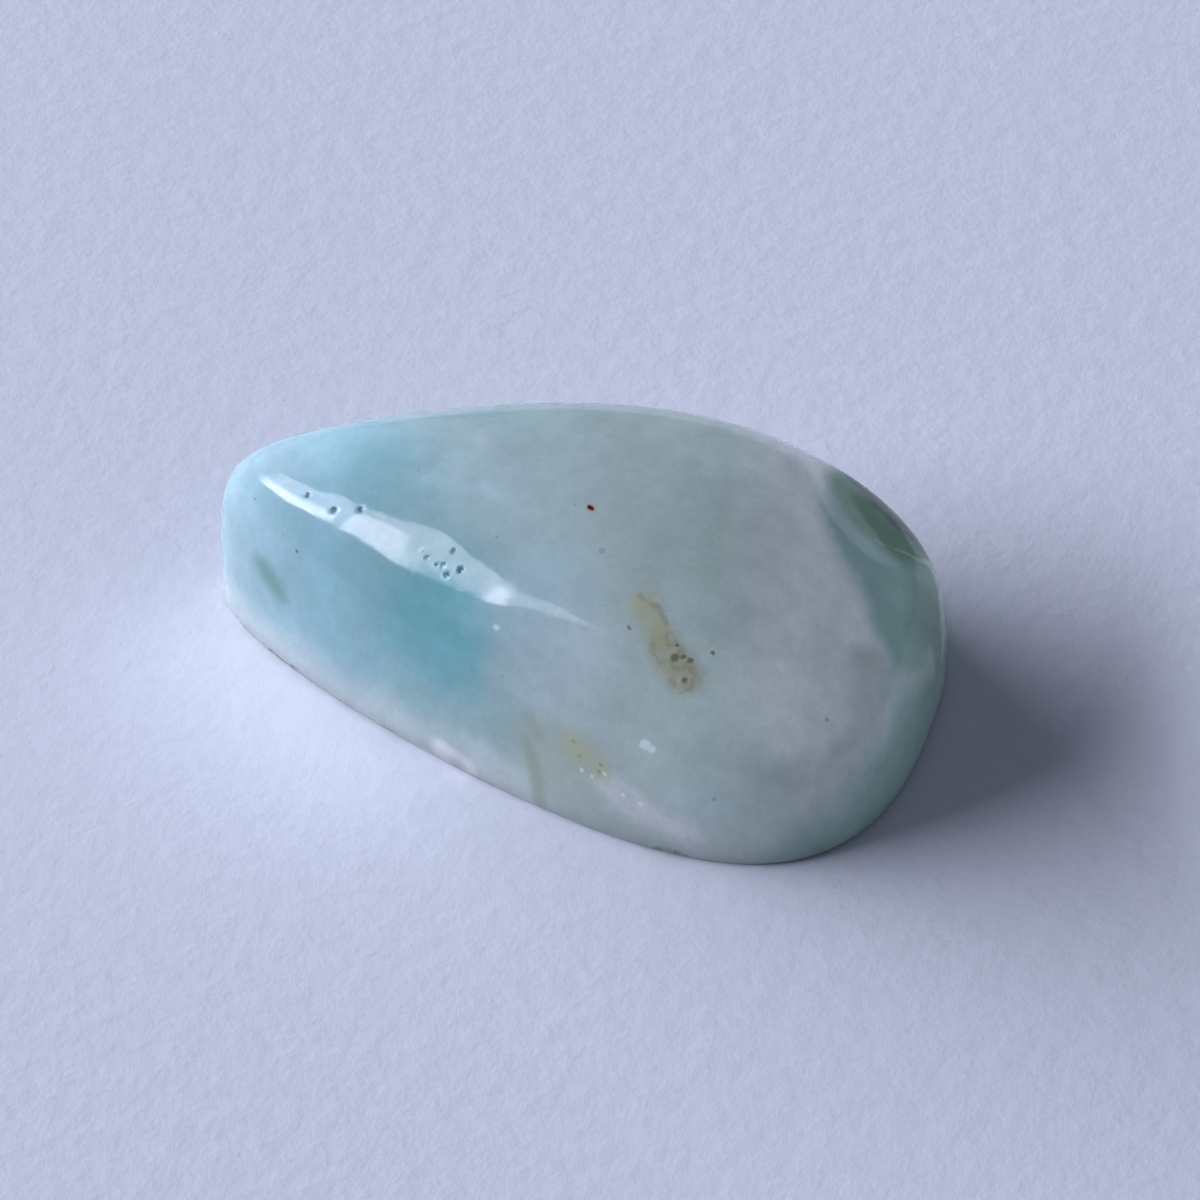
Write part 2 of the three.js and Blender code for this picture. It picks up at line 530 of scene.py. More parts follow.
def mesh_from(name, points, quads, triangles):
    """A smooth mesh from vertex, quad and triangle arrays."""
    corners = np.concatenate([quads.ravel(), triangles.ravel()])
    sizes = np.concatenate([np.full(len(quads), 4), np.full(len(triangles), 3)])
    starts = np.concatenate([[0], np.cumsum(sizes)[:-1]])
    mesh = bpy.data.meshes.new(name)
    mesh.vertices.add(len(points))
    mesh.vertices.foreach_set("co", points.astype(np.float32).ravel())
    mesh.loops.add(len(corners))
    mesh.loops.foreach_set("vertex_index", corners.astype(np.int32))
    mesh.polygons.add(len(sizes))
    mesh.polygons.foreach_set("loop_start", starts.astype(np.int32))
    mesh.polygons.foreach_set("use_smooth", np.ones(len(sizes), bool))
    mesh.update(calc_edges=True)
    mesh.validate()
    return mesh


# Middle and height of each flat and swell on the front shoulder, in millimetres
SHOULDER_FLATS = (
    ((-9.8, -0.8, 6.0), 0.053),
    ((-8.9, -0.4, 6.8), -0.055),
    ((-6.1, -1.4, 7.1), -0.021),
    ((-5.0, -2.7, 6.1), -0.070),
    ((-5.0, -3.4, 5.1), 0.030),
    ((-3.3, -2.2, 7.2), -0.031),
    ((-2.0, -4.4, 5.1), 0.027),
    ((-0.1, -4.3, 6.0), 0.048),
    ((2.2, -4.3, 6.8), 0.064),
)
# Middle and radius of the chip at the front foot
CHIP = ((-2.1, -5.7, 0.42), 0.42)
# Middle and radius of each dot: grains in the brown stain
BROWN_DOTS = (
    ((4.93, -5.14, 6.34), 0.149),
    ((5.17, -5.08, 6.39), 0.108),
    ((5.41, -5.11, 6.35), 0.0945),
    ((4.9, -4.8, 6.6), 0.081),
    ((5.38, -5.57, 5.90), 0.0945),
    ((3.31, -4.58, 6.70), 0.0945),
    ((6.06, -4.77, 6.52), 0.081),
)
# Grains in the olive veil
OLIVE_DOTS = (
    ((2.28, -6.63, 2.76), 0.08),
    ((2.98, -6.88, 2.48), 0.08),
    ((2.0, -6.45, 3.15), 0.07),
    ((3.0, -6.78, 2.75), 0.09),
)
# Open pits along the front shoulder
DARK_DOTS = (
    ((-8.45, -1.14, 6.41), 0.0936),
    ((-7.43, -1.60, 6.41), 0.114),
    ((-6.50, -1.66, 6.73), 0.104),
    ((-4.09, -2.29, 6.94), 0.052),
    ((-4.54, -2.35, 6.71), 0.052),
    ((-4.11, -2.70, 6.48), 0.0624),
    ((-3.05, -2.78, 6.78), 0.0832),
    ((-3.92, -2.87, 6.34), 0.0728),
    ((-3.33, -3.06, 6.35), 0.0728),
    ((-3.54, -3.04, 6.28), 0.0624),
    ((-2.69, -3.20, 6.43), 0.114),
    ((-3.13, -3.27, 6.16), 0.0832),
    ((-10.31, -0.83, 5.51), 0.052),
    ((-8.50, -2.16, 4.86), 0.0624),
)
# Dark marks at the back of the heel
EDGE_DOTS = (
    ((11.0, 4.43, 3.29), 0.12),
    ((11.1, 4.1, 3.5), 0.07),
    ((11.59, 2.35, 3.38), 0.12),
)
# Faint dark specks
FAINT_DOTS = (
    ((-9.05, -1.79, 5.10), 0.06),
    ((-1.68, -2.48, 7.46), 0.05),
    ((1.83, -2.64, 7.89), 0.12),
    ((0.55, -1.29, 8.36), 0.05),
    ((-0.67, -5.25, 4.19), 0.07),
    ((9.78, -4.75, 4.61), 0.08),
    ((6.84, -7.27, 2.70), 0.08),
)
# White specks
WHITE_DOTS = (
    ((-1.10, -4.43, 5.43), 0.13),
    ((4.42, -6.71, 3.92), 0.2),
    ((4.67, -6.77, 3.82), 0.15),
    ((4.27, -6.68, 3.93), 0.07),
    ((2.39, -6.78, 2.32), 0.08),
    ((3.15, -6.93, 2.48), 0.08),
    ((2.75, -6.88, 2.25), 0.06),
    ((3.85, -7.17, 1.98), 0.09),
    ((4.44, -7.29, 1.89), 0.09),
    ((8.09, -4.23, 6.05), 0.16),
    ((8.22, -4.35, 5.95), 0.12),
)
# Middle of the red grain
RED_GRAIN = (1.07, -1.30, 8.37)


class Desk:
    """Adds nodes to one material's tree, one short call each."""

    def __init__(self, tree):
        self.tree = tree

    def put(self, value, socket):
        """Sets a socket from another node's output or from plain numbers."""
        if isinstance(value, bpy.types.NodeSocket):
            self.tree.links.new(value, socket)
        else:
            socket.default_value = value

    def math(self, operation, *values):
        node = self.tree.nodes.new("ShaderNodeMath")
        node.operation = operation
        for value, socket in zip(values, node.inputs):
            self.put(value, socket)
        return node.outputs[0]

    def vector(self, operation, *values):
        node = self.tree.nodes.new("ShaderNodeVectorMath")
        node.operation = operation
        for value, socket in zip(values, node.inputs):
            self.put(value, socket)
        if operation in ("LENGTH", "DISTANCE", "DOT_PRODUCT"):
            return node.outputs["Value"]
        return node.outputs["Vector"]

    def stretched(self, place, share):
        """A vector times one number that may differ from place to place."""
        node = self.tree.nodes.new("ShaderNodeVectorMath")
        node.operation = "SCALE"
        self.put(place, node.inputs[0])
        self.put(share, node.inputs["Scale"])
        return node.outputs["Vector"]

    def noise(self, place, scale, detail=2.0, roughness=0.5):
        """Clouds of a given number of swells per millimetre: the value and the colour."""
        node = self.tree.nodes.new("ShaderNodeTexNoise")
        self.put(place, node.inputs["Vector"])
        node.inputs["Scale"].default_value = scale
        node.inputs["Detail"].default_value = detail
        node.inputs["Roughness"].default_value = roughness
        return node.outputs["Fac"], node.outputs["Color"]

    def soft_step(self, value, start, end, low=0.0, high=1.0):
        """Eases from one number to another while the value goes from start to end."""
        node = self.tree.nodes.new("ShaderNodeMapRange")
        node.interpolation_type = "SMOOTHSTEP"
        self.put(value, node.inputs["Value"])
        node.inputs["From Min"].default_value = start
        node.inputs["From Max"].default_value = end
        node.inputs["To Min"].default_value = low
        node.inputs["To Max"].default_value = high
        return node.outputs["Result"]

    def mix(self, share, below, above):
        """Lays one colour over another by a share."""
        node = self.tree.nodes.new("ShaderNodeMix")
        node.data_type = "RGBA"
        self.put(share, node.inputs["Factor"])
        for name, colour in (("A", below), ("B", above)):
            socket = next(s for s in node.inputs if s.name == name and s.type == "RGBA")
            if not isinstance(colour, bpy.types.NodeSocket):
                colour = (*colour, 1)
            self.put(colour, socket)
        return next(s for s in node.outputs if s.type == "RGBA")

    def moved(self, place, scale, amount, detail=2.0):
        """The place pushed about by clouds, so that edges wander."""
        cloud = self.noise(place, scale, detail)[1]
        centred = self.vector("SUBTRACT", cloud, (0.5, 0.5, 0.5))
        return self.vector("ADD", place, self.stretched(centred, amount))

    def zone(self, place, middle, reach, turn=(0, 0, 0), edge=0.3):
        """Share of a soft egg-shaped zone: 1 inside, 0 outside its reach."""
        node = self.tree.nodes.new("ShaderNodeMapping")
        node.vector_type = "TEXTURE"
        self.put(place, node.inputs["Vector"])
        node.inputs["Location"].default_value = middle
        node.inputs["Rotation"].default_value = [math.radians(angle) for angle in turn]
        node.inputs["Scale"].default_value = reach
        away = self.vector("LENGTH", node.outputs["Vector"])
        return self.soft_step(away, 1 + edge, 1 - edge)

    def beyond(self, place, normal, start, end):
        """Share that eases from 0 to 1 along a direction."""
        return self.soft_step(self.vector("DOT_PRODUCT", place, normal), start, end)

    def line_distance(self, place, start, end):
        """Distance to a straight line between two points."""
        run = Vector(end) - Vector(start)
        from_start = self.vector("SUBTRACT", place, start)
        share = self.math("DIVIDE", self.vector("DOT_PRODUCT", from_start, run), run.length_squared)
        share = self.math("MINIMUM", self.math("MAXIMUM", share, 0.0), 1.0)
        return self.vector("DISTANCE", from_start, self.stretched(tuple(run), share))

    def path_distance(self, place, corners):
        """Distance to a path through several corners."""
        nearest = self.line_distance(place, corners[0], corners[1])
        for start, end in zip(corners[1:], corners[2:]):
            nearest = self.math("MINIMUM", nearest, self.line_distance(place, start, end))
        return nearest

    def dots(self, place, middles):
        """Share of small dots, each with its own radius, with a soft edge."""
        nearest = None
        for middle, radius in middles:
            away = self.math("DIVIDE", self.vector("DISTANCE", place, middle), radius)
            nearest = away if nearest is None else self.math("MINIMUM", nearest, away)
        return self.soft_step(nearest, 1.25, 0.6)

    def pepper(self, place, scale, radius):
        """Share of tiny specks strewn through the stone, one per cell of the given size."""
        node = self.tree.nodes.new("ShaderNodeTexVoronoi")
        self.put(place, node.inputs["Vector"])
        node.inputs["Scale"].default_value = scale
        return self.soft_step(node.outputs["Distance"], radius * scale, 0.4 * radius * scale)

    def product(self, first, second):
        return self.math("MULTIPLY", first, second)

    def lay_zone(self, below, above, amount, place, middle, reach, turn=(0, 0, 0), edge=0.3):
        """Lays a colour over another by an amount within a soft egg-shaped zone."""
        share = self.zone(place, middle, reach, turn, edge)
        return self.mix(self.product(share, amount), below, above)

    def lay_path(self, below, above, amount, place, corners, start, end):
        """Lays a colour along a path: nothing at the start's distance, the amount at the end's."""
        away = self.path_distance(place, corners)
        return self.mix(self.soft_step(away, start, end, 0.0, amount), below, above)

    def lay_dots(self, below, above, amount, place, middles):
        """Lays a colour over another by an amount in small dots."""
        return self.mix(self.product(self.dots(place, middles), amount), below, above)


def body_colour(desk, place, looks):
    """The stone's own colour, from blue-green at the tip to milk white near the heel."""
    ramp = desk.tree.nodes.new("ShaderNodeValToRGB")
    along = desk.vector("DOT_PRODUCT", place, (1, 0.22, 0))
    share = desk.math("DIVIDE", desk.math("ADD", along, 12.0), 24.0)
    desk.tree.links.new(share, ramp.inputs["Fac"])
    stops = (
        (-11.5, looks.tip),
        (-8.0, looks.aqua),
        (-4.5, looks.sea),
        (-1.0, looks.sea_grey),
        (2.0, looks.grey),
        (5.0, looks.milky),
        (7.6, looks.milk),
        (11.0, looks.milk),
    )
    elements = ramp.color_ramp.elements
    while len(elements) < len(stops):
        elements.new(0.5)
    for element, (x, colour) in zip(elements, stops):
        element.position = (x + 12) / 24
        element.color = (*colour, 1)
    return ramp.outputs["Color"]


def blue_zones(desk, colour, place, looks):
    """Deeper blue under the front shoulder near the tip, and a weaker one over it."""
    low_edge = desk.beyond(place, (0.2, 0, 1), 0.9, 3.4)
    right_edge = desk.beyond(place, (-1, -0.15, 0.08), 1.85, 2.85)
    wide = desk.zone(place, (-4.4, -3.7, 4.8), (4.2, 3.0, 3.0), edge=0.6)
    colour = desk.mix(desk.product(desk.product(wide, 0.28), right_edge), colour, looks.deep_blue)
    deep = desk.zone(place, (-2.9, -4.0, 4.7), (2.2, 2.6, 2.2), edge=0.6)
    deep = desk.product(desk.product(deep, low_edge), right_edge)
    colour = desk.mix(deep, colour, looks.deep_blue)
    return desk.lay_zone(
        colour, looks.upper_blue, 0.85, place, (-5.4, -0.9, 7.5), (2.0, 1.25, 1.6), (0, 0, -25), 0.5,
    )


def pale_zones(desk, colour, place, looks):
    """Milky clouds: at the tip's corner, along the top, beside the blue and at the right."""
    colour = desk.lay_zone(
        colour, looks.cloud, 0.45, place, (-9.4, 0.1, 6.8), (1.5, 0.9, 1.0), (0, 0, -8), 0.5,
    )
    colour = desk.lay_zone(colour, looks.haze, 0.33, place, (-1.3, -0.8, 8.0), (3.8, 2.6, 1.8), edge=0.7)
    colour = desk.lay_path(colour, looks.haze, 0.45, place, ((-8.2, 1.5, 6.6), (-4.5, 2.6, 7.7)), 1.0, 0.3)
    colour = desk.lay_zone(colour, looks.cloud, 0.7, place, (0.0, -4.2, 6.1), (2.0, 1.6, 2.2), edge=0.6)
    colour = desk.lay_zone(colour, looks.haze, 0.5, place, (1.6, -5.1, 5.5), (2.1, 1.6, 2.0), edge=0.6)
    colour = desk.lay_path(
        colour, looks.haze, 0.35, place, ((-6.6, 1.7, 7.7), (-3.1, 0.7, 8.45)), 0.75, 0.1,
    )
    colour = desk.lay_path(
        colour, looks.cloud, 0.55, place, ((-4.35, -0.99, 7.86), (-1.7, -1.25, 8.2)), 0.5, 0.05,
    )
    return desk.lay_path(
        colour, looks.cloud, 0.35, place, ((2.77, 0.93, 8.59), (3.0, 1.9, 8.5), (3.63, 3.56, 8.16)),
        0.4, 0.05,
    )


def low_zones(desk, colour, place, looks):
    """Along the front foot: a cream band, a greener stretch, lilac clouds near the heel, and painted shade
    along the foot where it meets the paper.
    """
    height = desk.vector("DOT_PRODUCT", place, (0, 0, 1))
    before_heel = desk.beyond(place, (1, 0, 0), 3.5, 0.5)
    band = desk.product(desk.soft_step(height, 2.4, 0.2), before_heel)
    colour = desk.mix(desk.product(band, 0.75), colour, looks.cream)
    colour = desk.lay_zone(
        colour, looks.low_green, 0.6, place, (3.0, -7.1, 1.2), (3.0, 1.4, 1.2), edge=0.5,
    )
    colour = desk.lay_zone(colour, looks.low_grey, 0.8, place, (6.6, -7.2, 3.2), (3.4, 1.8, 2.6), edge=0.4)
    lilac = desk.line_distance(place, (3.4, -7.0, 1.9), (6.2, -7.45, 0.9))
    cloudy = desk.soft_step(desk.noise(place, 1.3, 4.0, 0.6)[0], 0.3, 0.6, 0.45, 1.0)
    lilac = desk.product(desk.soft_step(lilac, 0.95, 0.3), cloudy)
    colour = desk.mix(desk.product(lilac, 0.8), colour, looks.lilac)
    colour = desk.lay_zone(
        colour, looks.low_blue, 0.35, place, (6.4, -7.3, 2.5), (0.9, 0.9, 0.75), edge=0.6,
    )
    # Painted shade: a ragged dark line along the foot where it meets the paper
    ragged = desk.soft_step(desk.noise(place, 2.5, 3.0, 0.6)[0], 0.35, 0.65, 0.3, 1.0)
    seam = desk.product(desk.soft_step(height, 0.13, 0.03), ragged)
    return desk.mix(desk.product(seam, 0.75), colour, looks.seam)


def heel_zones(desk, colour, place, looks):
    """Teal behind the heel and along its foot, olive on the worn flat, pale veins between, painted shade
    round the heel's lower front, and pale bands along its edge that are partly vein, partly painted
    reflection.
    """
    # Painted shade: a darker neutral grey band round the heel's lower front shoulder
    colour = desk.lay_path(
        colour, looks.heel_painted_shade, 0.65, place,
        ((10.6, -2.5, 4.6), (10.9, -3.8, 3.8), (10.4, -5.3, 3.2), (9.8, -6.3, 1.8)), 1.5, 0.4,
    )
    behind = desk.product(
        desk.beyond(place, (1, 0.97, 0), 8.6, 10.6), desk.beyond(place, (1, 0, 0), 6.9, 8.3),
    )
    colour = desk.mix(behind, colour, looks.teal)
    height = desk.vector("DOT_PRODUCT", place, (-0.12, -0.45, 1))
    foot = desk.product(desk.soft_step(height, 4.7, 2.3), desk.beyond(place, (1, 0, 0), 6.5, 10.0))
    colour = desk.mix(foot, colour, looks.foot_teal)
    colour = desk.lay_zone(
        colour, looks.deep_teal, 0.9, place, (11.8, 1.9, 3.4), (0.95, 2.3, 1.3), (0, 0, 8), 0.8,
    )
    # Partly vein, partly painted reflection: a pale band along the heel's front edge, where the polish
    # mirrors the paper
    colour = desk.lay_path(
        colour, looks.heel_vein_and_reflection, 0.6, place,
        ((10.3, -2.3, 5.0), (11.0, -1.9, 4.2), (11.6, -1.2, 3.4), (11.9, 0.6, 2.6)), 0.75, 0.1,
    )
    olive = desk.zone(place, (9.1, 4.35, 5.1), (2.15, 1.65, 2.6), (0, 0, -14), 0.28)
    colour = desk.mix(olive, colour, looks.olive)
    colour = desk.lay_path(
        colour, looks.haze, 0.55, place,
        ((9.2, 3.05, 5.4), (9.7, 3.35, 4.95), (10.2, 3.45, 4.55), (10.7, 3.8, 4.05)), 0.16, 0.02,
    )
    # Partly vein, partly painted reflection: a pale band along the heel's back edge, where the polish
    # mirrors the paper
    colour = desk.lay_path(
        colour, looks.heel_vein_and_reflection, 0.7, place,
        ((10.7, 3.85, 4.05), (11.3, 3.3, 3.45), (11.75, 2.4, 2.9), (11.95, 1.9, 2.1)), 0.4, 0.1,
    )
    return desk.lay_path(
        colour, looks.shade, 0.9, place,
        ((7.95, 5.5, 5.55), (9.1, 5.15, 4.8), (10.25, 4.75, 4.05), (10.9, 4.35, 3.6)), 0.5, 0.15,
    )


def stains(desk, colour, place, rough_place, looks):
    """Ochre and olive stains with darker curls, as iron leaves them in the stone."""
    patchy = desk.soft_step(desk.noise(place, 3.2, 3.0, 0.6)[0], 0.3, 0.6, 0.6, 1.0)
    tan = desk.soft_step(
        desk.line_distance(rough_place, (3.55, -3.95, 7.25), (4.2, -4.6, 6.8)), 0.68, 0.12,
    )
    tan = desk.product(tan, patchy)
    colour = desk.mix(desk.product(tan, 0.95), colour, looks.tan)
    brown = desk.soft_step(
        desk.line_distance(rough_place, (4.55, -4.95, 6.5), (5.35, -5.5, 5.95)), 0.85, 0.25,
    )
    colour = desk.mix(desk.product(desk.product(brown, patchy), 0.95), colour, looks.brown)
    curl = desk.math("ABSOLUTE", desk.math("SUBTRACT", desk.noise(place, 1.7, 1.0, 0.5)[0], 0.5))
    curl = desk.product(desk.soft_step(curl, 0.085, 0.02), desk.soft_step(brown, 0.2, 0.9))
    colour = desk.mix(desk.product(curl, 0.3), colour, looks.dark_brown)
    colour = desk.lay_path(
        colour, looks.dark_brown, 0.4, rough_place,
        ((3.4, -3.72, 7.37), (4.1, -4.0, 7.2), (4.45, -4.35, 7.0)), 0.15, 0.02,
    )
    colour = desk.lay_dots(colour, looks.darkest_brown, 0.7, rough_place, BROWN_DOTS)
    veil = desk.zone(rough_place, (1.6, -6.35, 2.3), (1.7, 1.0, 1.2), edge=0.5)
    colour = desk.mix(desk.product(desk.product(veil, patchy), 0.55), colour, looks.olive_veil)
    colour = desk.lay_path(
        colour, looks.olive_stain, 0.6, desk.moved(rough_place, 1.5, 0.3),
        ((0.45, -6.2, 2.5), (0.8, -6.5, 1.5), (1.05, -6.7, 0.1)), 0.42, 0.02,
    )
    colour = desk.lay_path(
        colour, looks.olive_stain, 0.45, rough_place, ((0.36, -5.93, 3.3), (0.8, -6.15, 2.9)), 0.4,
        0.05,
    )
    patch = desk.soft_step(
        desk.line_distance(rough_place, (2.0, -6.42, 3.05), (3.0, -6.8, 2.65)), 0.7, 0.15,
    )
    colour = desk.mix(desk.product(desk.product(patch, patchy), 0.8), colour, looks.tan)
    return desk.lay_dots(colour, looks.dark_brown, 0.5, rough_place, OLIVE_DOTS)


def specks(desk, colour, rough_place, looks):
    """Single inclusions: dark pits on the front shoulder, white specks and one red grain."""
    colour = desk.lay_path(
        colour, looks.green_spot, 0.8, desk.moved(rough_place, 1.8, 0.5),
        ((-9.75, -1.87, 3.6), (-9.1, -2.35, 3.1)), 0.8, 0.05,
    )
    pepper = desk.pepper(rough_place, 1.1, 0.055)
    where = desk.soft_step(desk.noise(rough_place, 0.35, 2.0)[0], 0.45, 0.6, 0.1, 0.35)
    colour = desk.mix(desk.product(pepper, where), colour, looks.pit)
    colour = desk.lay_dots(colour, looks.pit, 0.85, rough_place, DARK_DOTS)
    colour = desk.lay_dots(colour, looks.shade, 0.7, rough_place, EDGE_DOTS)
    colour = desk.lay_dots(colour, looks.pit, 0.35, rough_place, FAINT_DOTS)
    colour = desk.lay_dots(colour, looks.white, 0.5, desk.moved(rough_place, 5.0, 0.14), WHITE_DOTS)
    colour = desk.lay_path(
        colour, looks.chip, 0.85, rough_place, ((-2.7, -5.45, 0.62), (-1.75, -5.8, 0.35)), 0.6, 0.15,
    )
    colour = desk.lay_zone(
        colour, looks.red_halo, 0.55, rough_place, RED_GRAIN, (0.19, 0.16, 0.16), (0, 0, -35), 0.4,
    )
    grain = desk.zone(rough_place, RED_GRAIN, (0.13, 0.085, 0.12), (0, 0, -35), 0.3)
    return desk.mix(grain, colour, looks.red)


def clouding(desk, colour, place):
    """Light and dark clouds of three sizes, as in milky opal, as a factor on the colour."""
    large = desk.soft_step(desk.noise(place, 0.45, 4.0, 0.55)[0], 0.3, 0.7, 0.95, 1.05)
    small = desk.soft_step(desk.noise(place, 1.5, 5.0, 0.7)[0], 0.3, 0.7, 0.95, 1.05)
    fine = desk.soft_step(desk.noise(place, 5.0, 4.0, 0.8)[0], 0.3, 0.7, 0.97, 1.03)
    factor = desk.product(desk.product(large, small), fine)
    return desk.stretched(colour, factor)


def opal_material(looks):
    """Polished milky opal with zones, stains and inclusions, all placed in millimetres."""
    material = bpy.data.materials.new("opal")
    material.use_nodes = True
    tree = material.node_tree
    desk = Desk(tree)
    shader = tree.nodes["Principled BSDF"]
    coordinates = tree.nodes.new("ShaderNodeTexCoord").outputs["Object"]
    place = desk.stretched(coordinates, 1 / MM)
    wandering = desk.moved(desk.moved(place, 0.4, 1.5), 1.7, 0.3, 3.0)
    ragged = desk.moved(place, 3.0, 0.22, 3.0)
    colour = body_colour(desk, wandering, looks)
    colour = blue_zones(desk, colour, wandering, looks)
    colour = pale_zones(desk, colour, wandering, looks)
    colour = low_zones(desk, colour, wandering, looks)
    colour = heel_zones(desk, colour, wandering, looks)
    colour = clouding(desk, colour, place)
    colour = stains(desk, colour, place, ragged, looks)
    colour = specks(desk, colour, desk.moved(place, 6.0, 0.06), looks)
    tree.links.new(colour, shader.inputs["Base Color"])
    gloss = desk.soft_step(desk.noise(place, 2.2, 3.0, 0.6)[0], 0.35, 0.7, 0.035, 0.07)
    tree.links.new(gloss, shader.inputs["Roughness"])
    bump = tree.nodes.new("ShaderNodeBump")
    bump.inputs["Distance"].default_value = POLISH_MARKS
    bump.inputs["Strength"].default_value = 1.0
    tree.links.new(desk.noise(place, 3.5, 3.0, 0.6)[0], bump.inputs["Height"])
    tree.links.new(bump.outputs["Normal"], shader.inputs["Normal"])
    shader.inputs["IOR"].default_value = REFRACTION
    shader.inputs["Subsurface Weight"].default_value = 1.0
    shader.inputs["Subsurface Radius"].default_value = (1.0, 1.0, 1.0)
    shader.inputs["Subsurface Scale"].default_value = CLOUDY_DEPTH
    return material


def paper_material(colour):
    """Matt paper with a fine uneven grain."""
    material = bpy.data.materials.new("paper")
    material.use_nodes = True
    tree = material.node_tree
    desk = Desk(tree)
    shader = tree.nodes["Principled BSDF"]
    coordinates = tree.nodes.new("ShaderNodeTexCoord").outputs["Object"]
    place = desk.stretched(coordinates, 1 / MM)
    grain = desk.noise(place, 1.1, 4.0, 0.65)[0]
    shade = desk.soft_step(grain, 0.3, 0.7, 0.985, 1.015)
    tree.links.new(desk.stretched(tuple(colour), shade), shader.inputs["Base Color"])
    bump = tree.nodes.new("ShaderNodeBump")
    bump.inputs["Distance"].default_value = PAPER_GRAIN
    bump.inputs["Strength"].default_value = 1.0
    tree.links.new(grain, bump.inputs["Height"])
    tree.links.new(bump.outputs["Normal"], shader.inputs["Normal"])
    shader.inputs["Roughness"].default_value = 0.85
    shader.inputs["Specular IOR Level"].default_value = 0.2
    return material


class OBJECT_OT_opal_stone(bpy.types.Operator):
    """Builds the stone and its material, in place of the model's plain one"""

    bl_idname = "object.opal_stone"
    bl_label = "Opal stone"

    def execute(self, context):
        skin = stone_skin(context.scene.opal_shape)
        points, quads, triangles = closed_stone(skin)
        mesh = mesh_from("opal_stone", points * MM, quads, triangles)
        stone = bpy.data.objects.new("opal_stone", mesh)
        context.scene.collection.objects.link(stone)
        mesh.materials.append(opal_material(context.scene.opal_colours))
        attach(stone, "root")
        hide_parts("opal")
        return {"FINISHED"}


class OBJECT_OT_opal_stage(bpy.types.Operator):
    """Lays the paper, hangs the window light and sets the camera"""

    bl_idname = "object.opal_stage"
    bl_label = "Paper, window and camera"

    def execute(self, context):
        look = context.scene.opal_stage
        lay_paper(context, look)
        hang_window(context, look)
        hang_fill(context, look, bpy.data.objects["opal_stone"])
        hang_glow(context, look, bpy.data.objects["paper"])
        dim_room(context, look)
        set_camera(context, look)
        context.scene.view_settings.view_transform = "Standard"
        return {"FINISHED"}


def lay_paper(context, look):
    """A flat sheet under the stone."""
    half = look.floor_size / 2
    corners = [(-half, -half, 0), (half, -half, 0), (half, half, 0), (-half, half, 0)]
    mesh = bpy.data.meshes.new("paper")
    mesh.from_pydata(corners, [], [(0, 1, 2, 3)])
    paper = bpy.data.objects.new("paper", mesh)
    mesh.materials.append(paper_material(look.paper))
    context.scene.collection.objects.link(paper)


def picture_axes(look):
    """The picture's right, and the level direction away from the camera, in the model's frame."""
    right = Vector((math.cos(look.camera_bearing), math.sin(look.camera_bearing), 0))
    away = Vector((-math.sin(look.camera_bearing), math.cos(look.camera_bearing), 0))
    return right, away


def area_light(context, name, colour, power, wide, high):
    """A rectangular light."""
    data = bpy.data.lights.new(name, "AREA")
    data.shape = "RECTANGLE"
    data.size = wide
    data.size_y = high
    data.energy = power
    data.color = colour
    light = bpy.data.objects.new(name, data)
    light.rotation_mode = "QUATERNION"
    context.scene.collection.objects.link(light)
    return light


def hang_window(context, look):
    """One wide soft window at the left, upright, its near end tipped up a little.

    Its mirror image in the polish comes from a rectangle that only reflections see, a margin larger
    all round and shaped by a curtain. Its daylight falls from a plain rectangle behind that one,
    which hangs further off and is larger by the same number, and is turned a little about the stone.
    """
    right, away = picture_axes(look)
    facing = right * math.cos(look.window_bearing) + away * math.sin(look.window_bearing)
    level = away * math.cos(look.window_bearing) - right * math.sin(look.window_bearing)
    upright = Vector((0, 0, 1))
    along = level * math.cos(look.window_roll) + upright * math.sin(look.window_roll)
    upward = upright * math.cos(look.window_roll) - level * math.sin(look.window_roll)
    middle = along * (look.window_near + look.window_far) / 2
    middle = middle + upward * (look.window_top + look.window_sill) / 2
    turn = Matrix((along, upward, along.cross(upward))).transposed().to_quaternion()
    wide = look.window_near - look.window_far
    high = look.window_top - look.window_sill
    window = area_light(context, "window", look.window_colour, look.window_power, wide, high)
    around = 1 + 2 * look.mirror_margin
    mirror = area_light(
        context, "window mirrored", look.mirror_colour, look.mirror_power, wide * around, high * around
    )
    for light in (window, mirror):
        light.location = facing * look.window_distance + middle
        light.rotation_quaternion = turn
    mirror.location -= facing * look.mirror_gap
    further = look.daylight_reach
    turned = Matrix.Rotation(look.daylight_turn, 3, "Z")
    window.location = turned @ window.location * further
    window.rotation_quaternion = (turned @ turn.to_matrix()).to_quaternion()
    window.data.size *= further
    window.data.size_y *= further
    window.data.energy *= further**2
    window.visible_glossy = False
    mirror.visible_diffuse = False
    mirror.visible_transmission = False
    mirror.visible_volume_scatter = False
    curtain(mirror.data, look)


